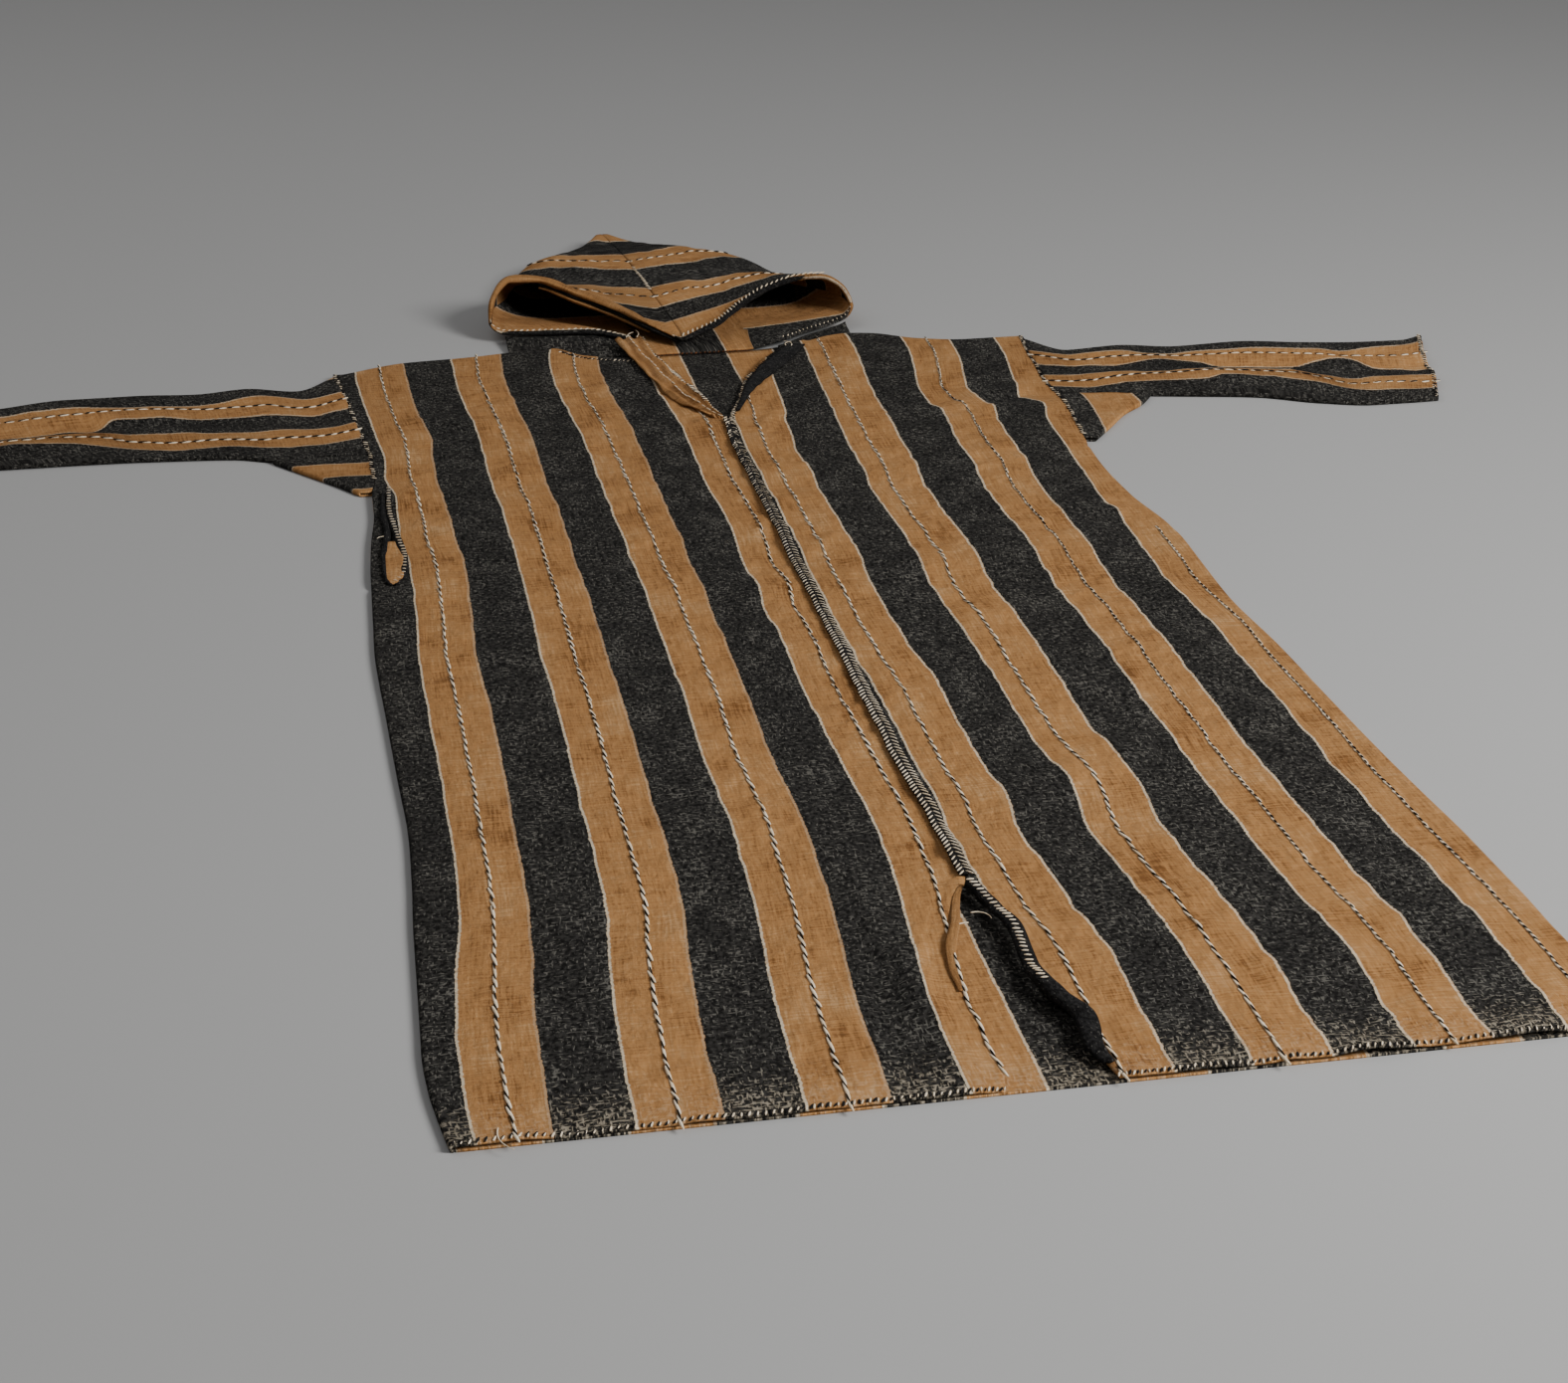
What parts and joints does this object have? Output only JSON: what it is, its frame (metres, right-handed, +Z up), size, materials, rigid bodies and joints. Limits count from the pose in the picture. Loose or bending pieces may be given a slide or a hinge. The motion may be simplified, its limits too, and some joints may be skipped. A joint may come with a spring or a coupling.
{
  "type": "hooded djellaba robe laid flat",
  "caption": "Hooded long-sleeved djellaba robe of striped woven cloth, laid flat on its back with the hood open behind the neck, a whip-stitched centre front and a hem slit.",
  "frame": {"origin": "middle of the laid-out robe's box, on the surface it lies on", "axes": "+X across the robe to the viewer's right (the wearer's left), +Y from the hem to the hood, +Z up from the surface"},
  "size_m": [1.4628, 1.745, 0.053],
  "materials": {
    "striped_cloth": "matt hand-woven wool and cotton, camel and charcoal stripes with fine cream lines",
    "dark_cloth": "matt charcoal woven cloth with pale flecks",
    "whip_stitch_yarn": "matt cream and black yarn, whip-stitched"
  },
  "bodies": {
    "root": {"back_panel": "striped_cloth", "front_left_panel": "striped_cloth", "front_right_panel": "striped_cloth", "sleeve_left": "striped_cloth", "sleeve_right": "striped_cloth", "gusset_left": "striped_cloth", "gusset_right": "striped_cloth", "hood_left": "striped_cloth", "hood_right": "striped_cloth", "placket_strip": "striped_cloth", "neck_band_right": "dark_cloth", "slit_selvedge": "dark_cloth", "centre_seam_braid": "whip_stitch_yarn"}
  },
  "joints": []
}
